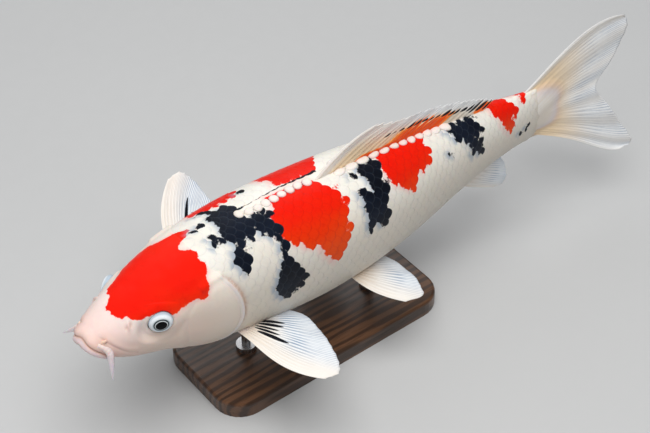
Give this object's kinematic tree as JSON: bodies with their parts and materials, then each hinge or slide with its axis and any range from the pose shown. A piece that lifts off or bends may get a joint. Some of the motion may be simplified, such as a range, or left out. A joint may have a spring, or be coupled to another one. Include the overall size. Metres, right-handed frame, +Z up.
{
  "type": "koi carp model",
  "caption": "Life-size koi carp as a still display model, swimming level with its fins spread, held over a flat base by short rods",
  "frame": {"origin": "the middle of the display stand's underside", "axes": "+Z up; +X along the fish from its head to its tail; the fish's left side faces -Y"},
  "size_m": [0.5974, 0.2268, 0.2041],
  "materials": {
    "skin": "wet white skin and scales with vivid red and blue-black patches",
    "fin": "satin translucent white membrane over paler rays",
    "eye": "clear glossy dome over a silver ring and a black pupil",
    "barbel": "soft pinkish white skin",
    "stand_wood": "dark oiled walnut, satin",
    "stand_steel": "brushed"
  },
  "bodies": {
    "root": {"head": "skin", "lower_jaw": "skin", "gill_cover_left": "skin", "gill_cover_right": "skin", "trunk": "skin", "tail_stalk": "skin", "eye_left": "eye", "eye_right": "eye", "barbel_upper_left": "barbel", "barbel_upper_right": "barbel", "barbel_lower_left": "barbel", "barbel_lower_right": "barbel", "dorsal_fin": "fin", "anal_fin": "fin", "caudal_fin": "fin", "pectoral_fin_left": "fin", "pectoral_fin_right": "fin", "pelvic_fin_left": "fin", "pelvic_fin_right": "fin", "stand_base": "stand_wood", "stand_rod_front": "stand_steel", "stand_rod_rear": "stand_steel"}
  },
  "joints": []
}
